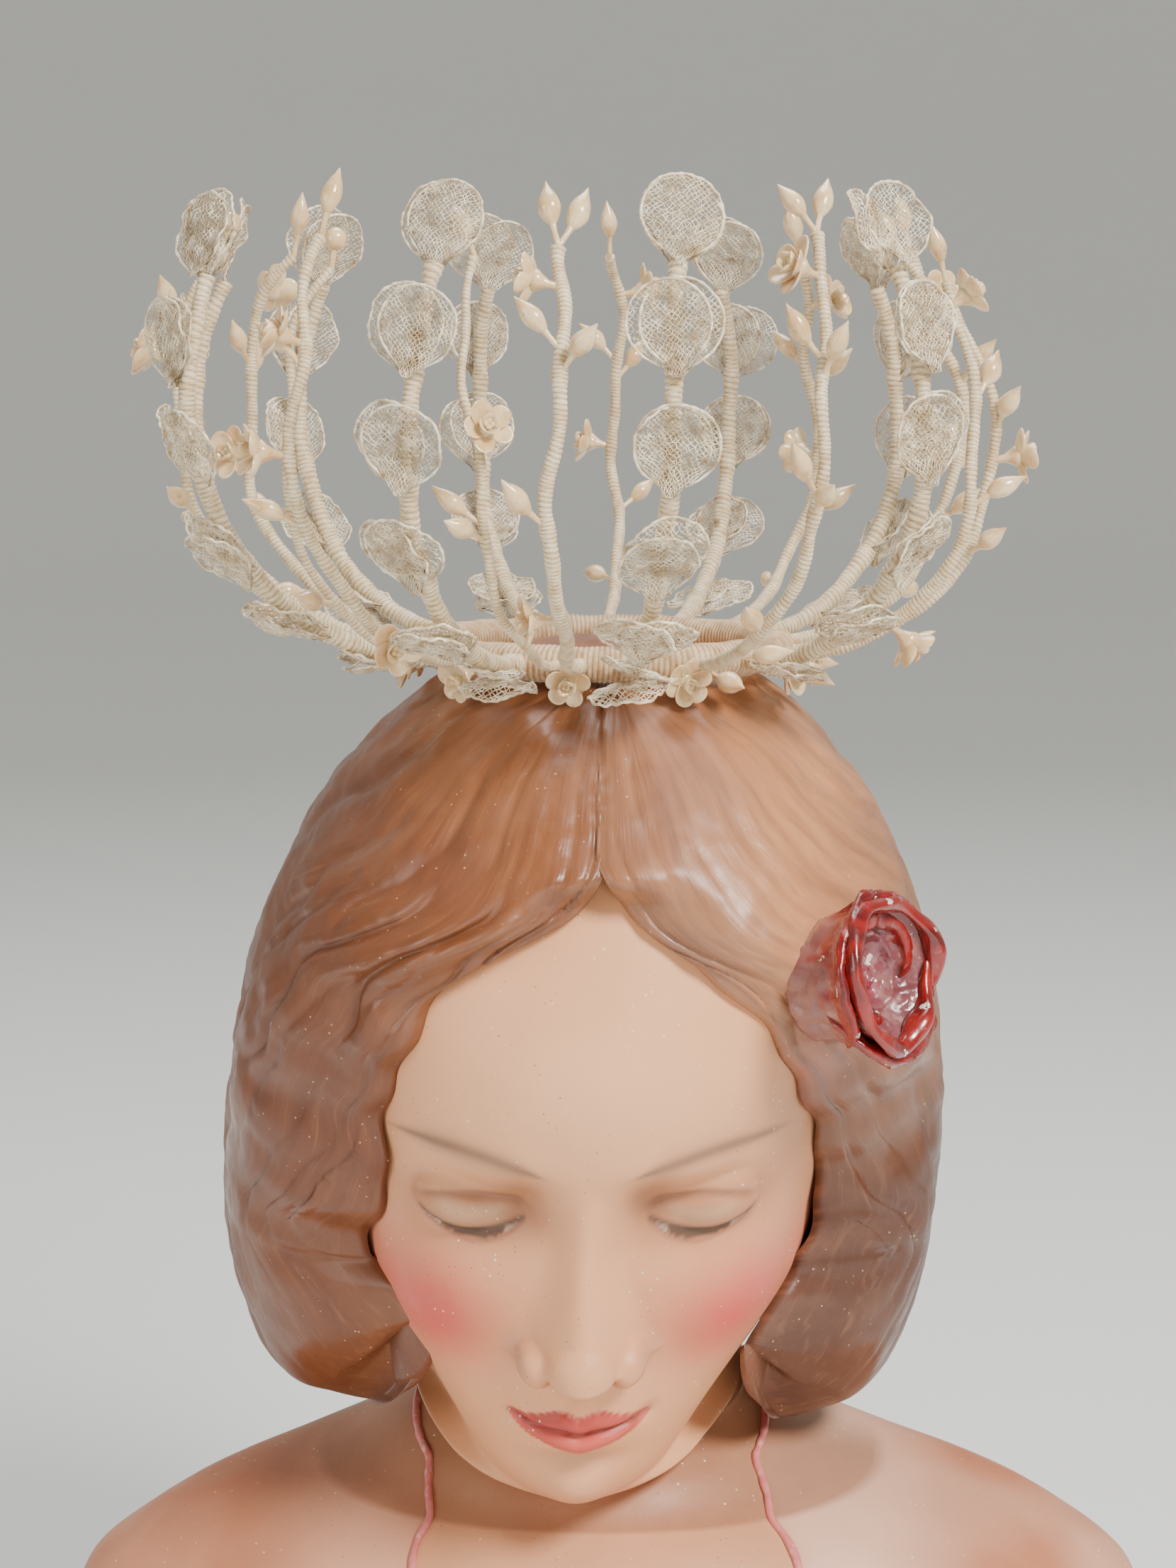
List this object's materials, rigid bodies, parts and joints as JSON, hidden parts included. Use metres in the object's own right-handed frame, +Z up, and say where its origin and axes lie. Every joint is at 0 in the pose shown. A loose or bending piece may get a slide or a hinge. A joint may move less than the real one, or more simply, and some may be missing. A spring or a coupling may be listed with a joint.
{
  "type": "display bust with bridal crown",
  "caption": "Hollow display bust with bowed head, bobbed hair in relief and a moulded rose, carrying a lift-off bridal crown of net discs, wax buds and wax flowers.",
  "frame": {"origin": "centre of the base board's flat underside, which the bust stands on", "axes": "+Z up, along the lift of the crown; the face looks along -Y; +X is the figure's left"},
  "size_m": [0.3154, 0.247, 0.497],
  "materials": {
    "painted_skin": "satin",
    "painted_hair": "satin",
    "rose_gloss": "gloss",
    "rose_paste": "satin",
    "wood": "matt",
    "steel": "satin",
    "silk_thread": "satin",
    "wire_net": "satin",
    "wax": "satin",
    "pearl_wax": "gloss"
  },
  "bodies": {
    "bust": {"bust_front_shell": "painted_skin", "bust_back_shell": "painted_skin", "hair_left": "painted_hair", "hair_right": "painted_hair", "rose_bed": "rose_paste", "rose_outer_petals": "rose_gloss", "rose_inner_petals": "rose_paste", "rose_heart": "rose_paste", "rose_lip": "rose_gloss", "base_board": "wood", "board_tacks": "steel", "neck_post": "wood", "head_block": "wood", "post_screws": "steel"},
    "crown": {"ring_wire": "steel", "ring_binding": "silk_thread", "ring_flowers": "wax", "ring_buds": "pearl_wax", "petal_stem_01": "silk_thread", "petal_discs_01": "wire_net", "petal_stem_02": "silk_thread", "petal_discs_02": "wire_net", "petal_stem_03": "silk_thread", "petal_discs_03": "wire_net", "petal_stem_04": "silk_thread", "petal_discs_04": "wire_net", "petal_stem_05": "silk_thread", "petal_discs_05": "wire_net", "petal_stem_06": "silk_thread", "petal_discs_06": "wire_net", "petal_stem_07": "silk_thread", "petal_discs_07": "wire_net", "petal_stem_08": "silk_thread", "petal_discs_08": "wire_net", "petal_stem_09": "silk_thread", "petal_discs_09": "wire_net", "spray_stem_01": "silk_thread", "spray_blooms_01": "pearl_wax", "spray_stem_02": "silk_thread", "spray_blooms_02": "pearl_wax", "spray_stem_03": "silk_thread", "spray_blooms_03": "pearl_wax", "spray_stem_04": "silk_thread", "spray_blooms_04": "pearl_wax", "spray_stem_05": "silk_thread", "spray_blooms_05": "pearl_wax", "spray_stem_06": "silk_thread", "spray_blooms_06": "pearl_wax", "spray_stem_07": "silk_thread", "spray_blooms_07": "pearl_wax", "spray_stem_08": "silk_thread", "spray_blooms_08": "pearl_wax", "spray_stem_09": "silk_thread", "spray_blooms_09": "pearl_wax", "spray_stem_10": "silk_thread", "spray_blooms_10": "pearl_wax", "spray_stem_11": "silk_thread", "spray_blooms_11": "pearl_wax", "spray_stem_12": "silk_thread", "spray_blooms_12": "pearl_wax"}
  },
  "joints": [
    {"name": "crown_lift", "type": "slide", "parent": "bust", "child": "crown", "axis": [0, 0, 1], "range_m": [0, 0.16]}
  ]
}
